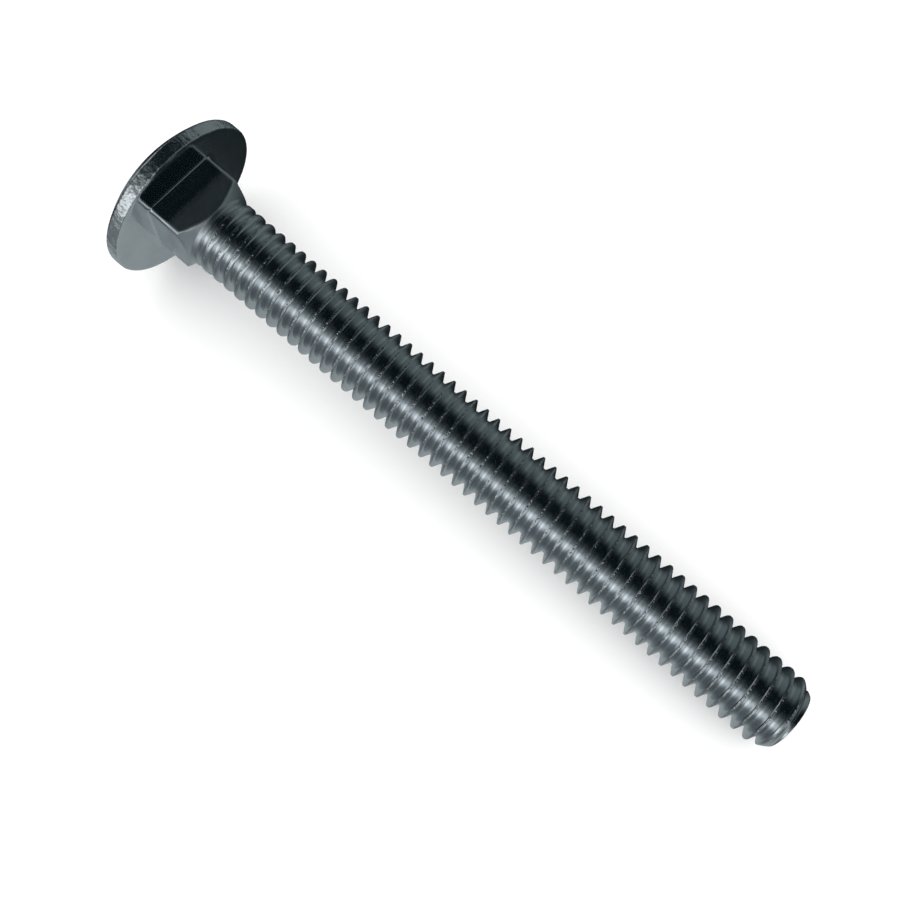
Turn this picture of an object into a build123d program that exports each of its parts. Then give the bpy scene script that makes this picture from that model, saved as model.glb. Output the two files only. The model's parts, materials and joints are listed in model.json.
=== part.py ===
from build123d import *
from math import asin, atan2, cos, degrees, floor, hypot, radians, sin, tan
import os

# A leveling bolt of the carriage type, 5/16 inch - 18 by 3 inches, cold-forged and thread-rolled from
# one length of steel wire. Millimetres.
#
# It is drawn upright first, on its own axis: the flat underside of the head is at z = 0, the head is
# below it and the shank points up. Then it is laid down as it comes to rest, on the rim of its head
# and on the last full crest of its thread, with +X towards the tip. The origin is then on the floor,
# under the middle of the bolt.

# Thread: unified 60 degree form, single start, right-handed
threads_per_inch = 18
pitch = 25.4 / threads_per_inch
flank_angle = 30
major_diameter = 7.8
thread_depth = 17 / 24 * pitch / (2 * tan(radians(flank_angle)))
crest_width = pitch / 8
thread_turn = 0.076  # how far round the bolt the crest starts, as a share of a turn
thread_bite = 0.1  # how far the ridge is sunk into the core when the two are joined
runout_length = 1.9  # along which the thread deepens, from the neck

# Shank
bolt_length = 76.2  # from the underside of the head to the tip
tip_chamfer = 1.35
tip_diameter = 6.1

# Square neck, whose corners fall away to the round shank
neck_width = 8.1
neck_corner = 0.5
neck_fillet = 0.3  # where its sides meet the head
neck_length = 3.65  # from the head to where the corners begin to fall away
neck_taper = 1.1
neck_turn = -2.75  # degrees about the bolt's axis

# Head: a flat underside, a short upright rim and a shallow dome
head_diameter = 18.0
head_height = 4.4
rim_height = 1.45
rim_edge = 0.33
dome_edge = 0.45

major_radius = major_diameter / 2
root_radius = major_radius - thread_depth
tip_radius = tip_diameter / 2
head_radius = head_diameter / 2
dome_height = head_height - rim_height
dome_radius = (head_radius**2 + dome_height**2) / (2 * dome_height)
neck_end = neck_length + neck_taper
thread_start = 360 * (neck_end / pitch - thread_turn)  # degrees: where the crest leaves the neck


def turned(*outline):
    """Solid turned round the z axis from an outline of (radius, z) points."""
    return revolve(Plane.XZ * make_face(Polyline(*outline, close=True)), Axis.Z, 360)


def helix(radius, z):
    """One line of the thread, from a turn below the neck's end to a turn beyond the tip."""
    height = bolt_length - neck_end + 2 * pitch
    return Pos(0, 0, z - pitch) * Rot(0, 0, thread_start) * Edge.make_helix(pitch, height, radius)


def thread_ridge():
    """The thread's raised profile along its whole length, sunk a little into the core that carries it."""
    foot_radius = root_radius - thread_bite
    half_foot = crest_width / 2 + (major_radius - foot_radius) * tan(radians(flank_angle))
    lines = [
        helix(foot_radius, neck_end - half_foot),
        helix(major_radius, neck_end - crest_width / 2),
        helix(major_radius, neck_end + crest_width / 2),
        helix(foot_radius, neck_end + half_foot),
    ]
    sides = [Face.make_surface_from_curves(lines[i - 1], lines[i]) for i in range(len(lines))]
    ends = [Face(Wire.make_polygon([line @ end for line in lines])) for end in (0, 1)]
    return Solid(Shell([*sides, *ends]))


def shank():
    """The thread on its core, both cut back at the tip, with the cone where the thread runs out."""
    clear = major_radius + 1
    chamfer_slope = tip_chamfer / (major_radius - tip_radius)
    outside = turned(
        (0, neck_end),
        (clear, neck_end),
        (clear, bolt_length - chamfer_slope * (clear - tip_radius)),
        (tip_radius, bolt_length),
        (0, bolt_length),
    )
    core = turned(
        (0, neck_end),
        (major_radius - crest_width, neck_end),
        (root_radius, neck_end + runout_length),
        (root_radius, bolt_length),
        (0, bolt_length),
    )
    return (core & outside) + (thread_ridge() & outside)


def neck():
    """Square with rounded corners, cut back by a cone to the round of the shank."""
    square = extrude(RectangleRounded(neck_width, neck_width, neck_corner), neck_end)
    corner_radius = (neck_width / 2 - neck_corner) * 2**0.5 + neck_corner
    taper_slope = neck_taper / (corner_radius - major_radius)
    clear = corner_radius + 1
    taper = turned(
        (0, 0),
        (clear, 0),
        (clear, neck_end - taper_slope * (clear - major_radius)),
        (major_radius, neck_end),
        (0, neck_end),
    )
    return Rot(0, 0, neck_turn) * (square & taper)


def head():
    """Turned from half its section: flat underside, rim and dome, with the rim's two edges rounded."""
    rim = Polyline((0, 0), (head_radius, 0), (head_radius, -rim_height))
    dome = RadiusArc((head_radius, -rim_height), (0, -head_height), dome_radius)
    section = make_face([*rim.edges(), dome, Line((0, -head_height), (0, 0))])
    for height, radius in ((0, rim_edge), (-rim_height, dome_edge)):
        corner = section.vertices().sort_by_distance((head_radius, height))[0]
        section = fillet(corner, radius)
    return revolve(Plane.XZ * section, Axis.Z, 360)


def bolt():
    forged = head() + neck()
    underside = forged.faces().filter_by(Axis.Z).sort_by(SortBy.AREA)[-1]
    forged = fillet(underside.inner_wires()[0].edges(), neck_fillet)
    return forged + shank()


def leaning_on(crest):
    """How far the lying bolt slopes when this crest touches the floor, the crest and its radius."""
    chamfered = tip_radius + (bolt_length - crest) * (major_radius - tip_radius) / tip_chamfer
    radius = min(major_radius, chamfered)
    run = crest + rim_edge
    drop = head_radius - rim_edge - radius
    return atan2(drop, run) + asin(rim_edge / hypot(run, drop)), crest, radius


def resting_plane():
    """Where the upright bolt's own x, y and z go when it lies down: its z along the bolt, tip low."""
    lowest = 0.75 + thread_turn  # share of a turn at which the crest faces the floor
    full_thread = (bolt_length - tip_chamfer - crest_width / 2) / pitch
    last_crest = pitch * (floor(full_thread - lowest) + lowest)
    slope, touching, touching_radius = min(leaning_on(last_crest), leaning_on(last_crest + pitch))
    height = touching * sin(slope) + touching_radius * cos(slope)
    tip_end = bolt_length * cos(slope) + tip_radius * sin(slope)
    dome_end = (dome_radius - head_height) * cos(slope) - dome_radius
    origin = (-(tip_end + dome_end) / 2, 0, height)
    print("underside of the head at", origin, "axis slopes down by", degrees(slope), "degrees")
    return Plane(origin, x_dir=(0, 1, 0), z_dir=(cos(slope), 0, -sin(slope)))


os.makedirs("parts", exist_ok=True)
lying = resting_plane() * bolt()
export_step(lying, "parts/bolt.step")
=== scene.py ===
import json
import math

import bmesh
import bpy
import numpy as np
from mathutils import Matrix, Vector


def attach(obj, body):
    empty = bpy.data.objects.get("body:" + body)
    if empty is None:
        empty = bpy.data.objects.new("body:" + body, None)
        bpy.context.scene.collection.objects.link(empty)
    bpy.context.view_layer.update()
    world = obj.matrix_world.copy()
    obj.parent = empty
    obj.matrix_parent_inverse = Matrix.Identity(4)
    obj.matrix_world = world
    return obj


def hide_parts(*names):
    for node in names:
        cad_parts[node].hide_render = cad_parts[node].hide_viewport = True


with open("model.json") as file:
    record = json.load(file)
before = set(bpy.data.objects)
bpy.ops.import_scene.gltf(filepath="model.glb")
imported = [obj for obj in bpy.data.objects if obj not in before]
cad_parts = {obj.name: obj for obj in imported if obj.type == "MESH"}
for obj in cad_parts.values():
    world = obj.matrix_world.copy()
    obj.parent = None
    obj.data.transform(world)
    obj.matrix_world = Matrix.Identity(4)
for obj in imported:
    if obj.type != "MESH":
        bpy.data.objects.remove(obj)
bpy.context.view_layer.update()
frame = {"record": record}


# ---- The bolt ----
# One length of steel wire: the round head and the square neck are upset in a die and the thread is
# rolled on the rest. It is drawn upright on its own axis in millimetres, with the flat underside of
# the head at z = 0 and the shank above it, and is then laid where the CAD bolt lies.
MM = 0.001
mounts = {mount["name"]: mount for mount in frame["record"]["mounts"]}
underside_centre = Vector(mounts["square_neck"]["pos_m"])
tip_centre = Vector(mounts["thread"]["pos_m"])
bolt_axis = (tip_centre - underside_centre).normalized()
bolt_length = (tip_centre - underside_centre).length / MM

pitch = 25.4 / 18
flank_angle = math.radians(30)
crest_radius = mounts["thread"]["dims"]["r_mm"]
root_radius = crest_radius - 17 / 24 * pitch / (2 * math.tan(flank_angle))
thread_turn = 0.076
thread_start = 4.75
blunt_until = 6.2
full_depth_from = 14.0
first_crest_radius = 3.88
first_root_radius = 3.50
seam_depth = 0.07
seam_width = 0.018 * pitch
crest_rounding = 0.03
root_rounding = 0.02
chamfer_rounding = 0.02
tip_chamfer = 1.35
tip_radius = 3.05

head_radius = 9.0
head_height = 4.4
rim_height = 1.45
rim_edge = 0.33
dome_edge = 0.45
neck_half = 4.05
neck_corner = 0.5
neck_length = 3.65
neck_fillet = 0.3
neck_turn = math.radians(-2.75)

# columns of the mesh round the bolt: close together at the neck's four corners
corner_steps = [i * 1.2 for i in range(-5, 6)]
flat_steps = [6 + 78 * i / 16 for i in range(1, 16)]
quarter = [math.radians(45 + step) for step in corner_steps + flat_steps]
quarter_starts = [neck_turn + i * math.pi / 2 for i in range(4)]
columns = np.array([start + step for start in quarter_starts for step in quarter])

# rows of the mesh along one turn of thread, as distances from the crest in pitches
half_profile = [0.018, 0.045, 0.07, 0.20, 0.34, 0.41, 0.455]
one_turn = [0.0, *half_profile, 0.5, *[1 - share for share in reversed(half_profile)]]


def ease(value, low, high):
    """0 below low, 1 above high, and smooth between them."""
    t = np.clip((value - low) / (high - low), 0, 1)
    return t * t * (3 - 2 * t)


def softer_min(a, b, width):
    """The smaller of a and b, with the corner between them rounded over about width."""
    return (a + b - np.sqrt((a - b) ** 2 + width**2)) / 2


def pitches_from_crest(angle, z):
    """Distance along the bolt to the nearest crest, in pitches: 0 on a crest and 0.5 at a root."""
    climbed = z / pitch - thread_turn - angle / (2 * math.pi)
    return np.abs(climbed - np.round(climbed))


def thread_radius(angle, z):
    """Radius of the rolled thread. Near the neck the roll has sunk less far and the crest is blunt."""
    from_crest = pitches_from_crest(angle, z)
    crest = first_crest_radius + (crest_radius - first_crest_radius) * ease(z, thread_start, blunt_until)
    sunk = np.clip((z - thread_start) / (full_depth_from - thread_start), 0, 1) ** 0.8
    root = first_root_radius + (root_radius - first_root_radius) * sunk
    root_half = 1 / 12
    flank = root + np.maximum(0.5 - from_crest - root_half, 0) * pitch / math.tan(flank_angle)
    flank = flank + root_rounding * (1 - ease(0.5 - from_crest, 0, root_half))
    radius = softer_min(crest, flank, crest_rounding)
    seam = np.exp(-((from_crest * pitch / seam_width) ** 2)) * ease(z, blunt_until, full_depth_from)
    chamfer = tip_radius + (bolt_length - z) * (crest_radius - tip_radius) / tip_chamfer
    return softer_min(radius - seam_depth * seam, chamfer, chamfer_rounding)


def square_outline(angle, grow=0.0):
    """Distance from the axis to the neck's rounded square, grown by so much on every side."""
    half, corner = neck_half + grow, neck_corner + grow
    turn = (angle - neck_turn + math.pi / 4) % (math.pi / 2) - math.pi / 4
    turn = np.abs(turn)
    flat = half / np.cos(turn)
    middle = (half - corner) * math.sqrt(2)
    off = math.pi / 4 - turn
    round_corner = middle * np.cos(off) + np.sqrt(np.maximum(corner**2 - (middle * np.sin(off)) ** 2, 0))
    on_flat = half * np.tan(turn) <= half - corner
    return np.where(on_flat, flat, round_corner)


def ring(radius, z):
    return np.broadcast_to(radius, columns.shape), np.broadcast_to(float(z), columns.shape)


def head_rings():
    """From the top of the dome over the rim to the underside."""
    dome_height = head_height - rim_height
    dome_radius = (head_radius**2 + dome_height**2) / (2 * dome_height)
    dome_centre = dome_radius - head_height
    edge_radius = head_radius - dome_edge
    edge_z = dome_centre - math.sqrt((dome_radius - dome_edge) ** 2 - edge_radius**2)
    dome_end = math.asin(edge_radius / (dome_radius - dome_edge))
    for i in range(19):
        a = dome_end * i / 18
        yield ring(dome_radius * math.sin(a), dome_centre - dome_radius * math.cos(a))
    for i in range(1, 8):
        a = dome_end + (math.pi / 2 - dome_end) * i / 7
        yield ring(edge_radius + dome_edge * math.sin(a), edge_z - dome_edge * math.cos(a))
    for i in range(1, 4):
        yield ring(head_radius, edge_z + (-rim_edge - edge_z) * i / 4)
    for i in range(7):
        a = math.pi / 2 * i / 6
        yield ring(head_radius - rim_edge + rim_edge * math.cos(a), -rim_edge + rim_edge * math.sin(a))
    neck_foot = square_outline(columns, neck_fillet)
    for i in range(1, 8):
        share = i / 8
        yield ring((head_radius - rim_edge) * (1 - share) + neck_foot * share, 0)


def neck_rings():
    """Up the square neck, whose corners fall away to the round shank."""
    for i in range(6):
        a = math.pi / 2 * i / 5
        outline = square_outline(columns, neck_fillet * (1 - math.sin(a)))
        yield ring(outline, neck_fillet * (1 - math.cos(a)))
    corner_radius = (neck_half - neck_corner) * math.sqrt(2) + neck_corner
    outline = square_outline(columns)
    for z in [*np.linspace(0.8, 3.3, 6), *np.linspace(3.5, thread_start - 0.06, 14)]:
        share = (z - neck_length) / (thread_start - neck_length)
        taper = corner_radius + (crest_radius - corner_radius) * share
        yield ring(softer_min(outline, taper, 0.05), z)


def thread_rings():
    """The thread's rows climb with the helix and are cut square at the neck and at the tip."""
    climb = columns / (2 * math.pi) + thread_turn
    first = math.floor(thread_start / pitch) - 3
    last = math.ceil(bolt_length / pitch) + 2
    for turn in range(first, last):
        for share in one_turn:
            z = np.clip((turn + share + climb) * pitch, thread_start, bolt_length)
            yield thread_radius(columns, z), z


def tip_rings():
    end_radius = thread_radius(columns, np.full(columns.shape, bolt_length))
    for share in (0.94, 0.5, 0.0):
        yield ring(end_radius * share, bolt_length)


def placed(rings):
    """Points of the lying bolt, in metres, row after row."""
    across = Vector((0, 1, 0))
    upward = bolt_axis.cross(across)
    rows = []
    for radius, z in rings:
        x, y = radius * np.cos(columns), radius * np.sin(columns)
        rows.append(np.outer(x, across) + np.outer(y, upward) + np.outer(z, bolt_axis))
    return np.concatenate(rows) * MM + np.array(underside_centre)


def quads(first_row, last_row, climbing=0):
    """Faces between rows. Where the rows climb, the last column meets the first one some rows on."""
    count = len(columns)
    for row in range(first_row, last_row - climbing):
        for column in range(count):
            beside = (column + 1) % count
            step = climbing if beside == 0 else 0
            yield (
                row * count + column,
                (row + step) * count + beside,
                (row + step + 1) * count + beside,
                (row + 1) * count + column,
            )


forged = [*head_rings(), *neck_rings()]
rolled = list(thread_rings())
cropped = list(tip_rings())
neck_row = len(forged)
tip_row = neck_row + len(rolled) - 1
end_row = tip_row + len(cropped)
bolt_mesh = bpy.data.meshes.new("bolt")
faces = [
    *quads(0, neck_row),
    *quads(neck_row, tip_row, climbing=len(one_turn)),
    *quads(tip_row, end_row),
]
bolt_mesh.from_pydata(placed([*forged, *rolled, *cropped]).tolist(), [], faces)
shape = bmesh.new()
shape.from_mesh(bolt_mesh)
bmesh.ops.remove_doubles(shape, verts=shape.verts, dist=1e-7)
bmesh.ops.recalc_face_normals(shape, faces=shape.faces)
shape.to_mesh(bolt_mesh)
shape.free()
bolt_mesh.shade_smooth()
bolt = bpy.data.objects.new("threaded_bolt", bolt_mesh)
bpy.context.scene.collection.objects.link(bolt)
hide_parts("bolt")
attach(bolt, "root")


# ---- Zinc plating ----
# A few micrometres of bright zinc over the whole bolt. It is smooth as a mirror on the flat underside
# of the head, satin on the rolled thread, and finely dimpled on the rim, which the die never touched.
zinc_colour = (0.74, 0.77, 0.79, 1)
clouded_zinc_colour = (0.666, 0.693, 0.711, 1)
worn_crest_colour = (0.95, 0.96, 0.97, 1)
# Near-black painted shade for the seam along the thread's crests; the seam's groove itself is in the mesh.
seam_painted_shade_colour = (0.02, 0.022, 0.025, 1)
satin = 0.13
mirror = 0.07
relief_depth = 0.00004


class Finish:
    """A socket of a node tree. Sums, differences and products of these add Math nodes."""

    def __init__(self, tree, socket=None):
        self.tree = tree
        self.socket = socket

    def node(self, kind, settings=None, sockets=None, out=0):
        """Adds a node of this kind, sets it, then links or fills its sockets."""
        node = self.tree.nodes.new(kind)
        for name, value in (settings or {}).items():
            if name == "stops":
                ramp = node.color_ramp
                while len(ramp.elements) < len(value):
                    ramp.elements.new(0.5)
                for element, (position, colour) in zip(ramp.elements, value):
                    element.position = position
                    element.color = colour
            else:
                setattr(node, name, value)
        for name, value in (sockets or {}).items():
            if isinstance(value, Finish):
                self.tree.links.new(value.socket, node.inputs[name])
            else:
                node.inputs[name].default_value = value
        return Finish(self.tree, node.outputs[out] if node.outputs else None)

    def math(self, operation, *values):
        return self.node("ShaderNodeMath", {"operation": operation}, dict(enumerate(values)))

    def __add__(self, other):
        return self.math("ADD", self, other)

    def __radd__(self, other):
        return self.math("ADD", other, self)

    def __sub__(self, other):
        return self.math("SUBTRACT", self, other)

    def __rsub__(self, other):
        return self.math("SUBTRACT", other, self)

    def __mul__(self, other):
        return self.math("MULTIPLY", self, other)

    def __rmul__(self, other):
        return self.math("MULTIPLY", other, self)

    def between(self, low, high):
        """0 below low and 1 above high, smooth between them."""
        return self.node(
            "ShaderNodeMapRange",
            {"interpolation_type": "SMOOTHSTEP"},
            {"Value": self, "From Min": low, "From Max": high},
        )

    def mix(self, colour, other):
        """colour where this is 0 and the other where it is 1."""
        return self.node("ShaderNodeMix", {"data_type": "RGBA"}, {0: self, 6: colour, 7: other}, out=2)


def zoned(mesh):
    """Marks each point of the bolt with what its finish depends on."""
    co = np.empty(len(mesh.vertices) * 3)
    mesh.vertices.foreach_get("co", co)
    off = (co.reshape(-1, 3) - np.array(underside_centre)) / MM
    along = off @ np.array(bolt_axis)
    side = off - np.outer(along, bolt_axis)
    out = np.linalg.norm(side, axis=1)
    upward = np.array(bolt_axis.cross(Vector((0, 1, 0))))
    angle = np.arctan2(side @ upward, side[:, 1])
    from_crest = pitches_from_crest(angle, along)
    threaded = ease(along, thread_start, thread_start + 1)
    zones = {
        "crest": threaded * (1 - ease(from_crest, 0.03, 0.07)),
        # Mask of the crest seam, where the shade is painted into the colour.
        "seam": threaded * np.exp(-((from_crest / 0.012) ** 2)),
        "rim": ease(out, head_radius - 0.4, head_radius - 0.1) * (1 - ease(along, -0.15, 0)),
        "underside": ease(along, -0.05, 0) * (1 - ease(along, 0.02, 0.1)),
        "dome": 1 - ease(along, -rim_height - 0.55, -rim_height - 0.05),
        "neck": ease(along, 1.9, 2.5) * (1 - threaded),
    }
    for name, value in zones.items():
        mesh.attributes.new(name, "FLOAT", "POINT").data.foreach_set("value", value)


def zinc_plate():
    material = bpy.data.materials.new("zinc_plate")
    material.use_nodes = True
    tree = material.node_tree
    tree.nodes.clear()
    finish = Finish(tree)

    def zone(name):
        return finish.node("ShaderNodeAttribute", {"attribute_name": name}, out=2)

    place = finish.node("ShaderNodeTexCoord", out=3)

    def grain(size, detail=2.0, roughness=0.5):
        """Noise with features of about this many metres."""
        sockets = {"Vector": place, "Scale": 1 / size, "Detail": detail, "Roughness": roughness}
        return finish.node("ShaderNodeTexNoise", None, sockets)

    cloud = grain(0.004, 3.0)
    dimple = grain(0.0009, 2.0)
    speck = grain(0.00018, 2.0, 0.6)
    nick = grain(0.0005, 2.0, 0.7).between(0.42, 0.60)
    colour = cloud.between(0.3, 0.7).mix(zinc_colour, clouded_zinc_colour)
    colour = (zone("crest") * (0.5 + nick * 0.5)).mix(colour, worn_crest_colour)
    # Paints the shade of the crest seam as near-black colour, broken up by the nicks.
    colour = (zone("seam") * (0.5 + nick * 0.5)).mix(colour, seam_painted_shade_colour)
    colour = (zone("rim") * 0.7).mix(colour, worn_crest_colour)
    worn = zone("crest") * nick * 0.12 + zone("rim") * 0.10 + zone("neck") * 0.22
    rough = mirror + (satin - mirror) * (1 - zone("underside")) + speck.between(0.35, 0.8) * 0.08 + worn
    relief = dimple * (0.25 + zone("rim") * 7 + zone("dome") * 0.6) + speck * 0.2 + nick * zone("crest") * 2
    sockets = {"Height": relief, "Distance": relief_depth, "Strength": 0.6}
    bump = finish.node("ShaderNodeBump", None, sockets)
    shader = finish.node(
        "ShaderNodeBsdfPrincipled",
        None,
        {"Base Color": colour, "Metallic": 1.0, "Roughness": rough, "Normal": bump},
    )
    finish.node("ShaderNodeOutputMaterial", None, {"Surface": shader})
    return material


zoned(bolt_mesh)
bolt_mesh.materials.append(zinc_plate())


# ---- Table ----
# A plain white table top, six metres square, that the bolt lies on. Its top is the floor of the frame.
# The polished metal doesn't mirror it, so that the bolt shows only the studio's lights and walls.
table_half = 3
table_white = (0.99, 0.99, 0.99, 1)


def table_card():
    material = bpy.data.materials.new("table_top")
    material.use_nodes = True
    shader = material.node_tree.nodes["Principled BSDF"]
    shader.inputs["Base Color"].default_value = table_white
    shader.inputs["Roughness"].default_value = 0.9
    shader.inputs["Specular IOR Level"].default_value = 0.1
    mesh = bpy.data.meshes.new("table")
    corners = [(-1, -1), (1, -1), (1, 1), (-1, 1)]
    mesh.from_pydata([(x * table_half, y * table_half, 0) for x, y in corners], [], [(0, 1, 2, 3)])
    mesh.materials.append(material)
    card = bpy.data.objects.new("table", mesh)
    bpy.context.scene.collection.objects.link(card)
    return card


table = table_card()
table.visible_glossy = False


# ---- Studio ----
# Even white light from all round, and what the metal mirrors: a long softbox on one side of the bolt,
# a black card above it, and dim blue-grey walls and floor. All of it runs parallel to the bolt.
# Each stop is a direction round the bolt, in degrees from straight up toward +Y, and its light.
mirrored_stops = [
    (-180, (0.32, 0.36, 0.37)),
    (-155, (0.30, 0.34, 0.35)),
    (-124, (0.13, 0.15, 0.16)),
    (-104, (0.12, 0.14, 0.15)),
    (-84, (0.17, 0.20, 0.21)),
    (-74, (0.42, 0.46, 0.48)),
    (-64, (0.90, 0.96, 0.99)),
    (-53, (0.90, 0.96, 0.99)),
    (-42, (0.30, 0.34, 0.35)),
    (-20, (0.05, 0.062, 0.066)),
    (0, (0.004, 0.008, 0.010)),
    (34, (0.004, 0.008, 0.010)),
    (48, (0.04, 0.05, 0.054)),
    (66, (0.115, 0.145, 0.15)),
    (100, (0.15, 0.18, 0.185)),
    (128, (0.06, 0.075, 0.08)),
    (150, (0.012, 0.017, 0.019)),
    (167, (0.016, 0.022, 0.024)),
    (171, (0.30, 0.34, 0.35)),
    (180, (0.32, 0.36, 0.37)),
]
# The end of the studio beyond the head is dark, up to the wall straight behind it.
head_end_dark = (0.02, 0.026, 0.03, 1)
end_wall_grey = (0.42, 0.46, 0.48, 1)
room_light = 1.35


def studio():
    world = bpy.data.worlds.new("studio")
    world.cycles.sampling_method = "NONE"
    bpy.context.scene.world = world
    world.use_nodes = True
    tree = world.node_tree
    tree.nodes.clear()
    light = Finish(tree)
    towards = light.node("ShaderNodeTexCoord", out=0)
    across = light.node("ShaderNodeSeparateXYZ", None, {"Vector": towards}, out=1)
    upward = light.node("ShaderNodeSeparateXYZ", None, {"Vector": towards}, out=2)
    turn = light.math("ARCTAN2", across, upward) * (0.5 / math.pi) + 0.5
    stops = [(0.5 + degrees / 360, (*colour, 1)) for degrees, colour in mirrored_stops]
    seen = light.node("ShaderNodeValToRGB", {"stops": stops}, {0: turn})
    along = light.node("ShaderNodeSeparateXYZ", None, {"Vector": towards}, out=0)
    seen = along.between(-0.85, -0.5).mix(head_end_dark, seen)
    seen = along.between(-0.98, -0.93).mix(end_wall_grey, seen)
    mirrored = light.node("ShaderNodeBackground", None, {"Color": seen, "Strength": 1.0})
    white = light.node("ShaderNodeBackground", None, {"Color": (1, 1, 1, 1), "Strength": room_light})
    glossy = light.node("ShaderNodeLightPath", out=3)
    both = light.node("ShaderNodeMixShader", None, {0: glossy, 1: white, 2: mirrored})
    light.node("ShaderNodeOutputWorld", None, {"Surface": both})


studio()


# ---- Camera ----
# It looks steeply down on the bolt, close enough that the tip, which is nearer, looks larger.
camera_data = bpy.data.cameras.new("camera")
camera_data.lens = 44.6
camera_data.sensor_width = 36
camera_data.shift_y = -0.0744
camera_data.clip_start = 0.005
camera = bpy.data.objects.new("camera", camera_data)
camera.location = (0.01766, -0.0212, 0.11022)
camera.rotation_euler = (math.radians(90 - 72.464), 0, math.radians(40.894))
bpy.context.scene.collection.objects.link(camera)
bpy.context.scene.camera = camera
bpy.context.scene.view_settings.view_transform = "Standard"
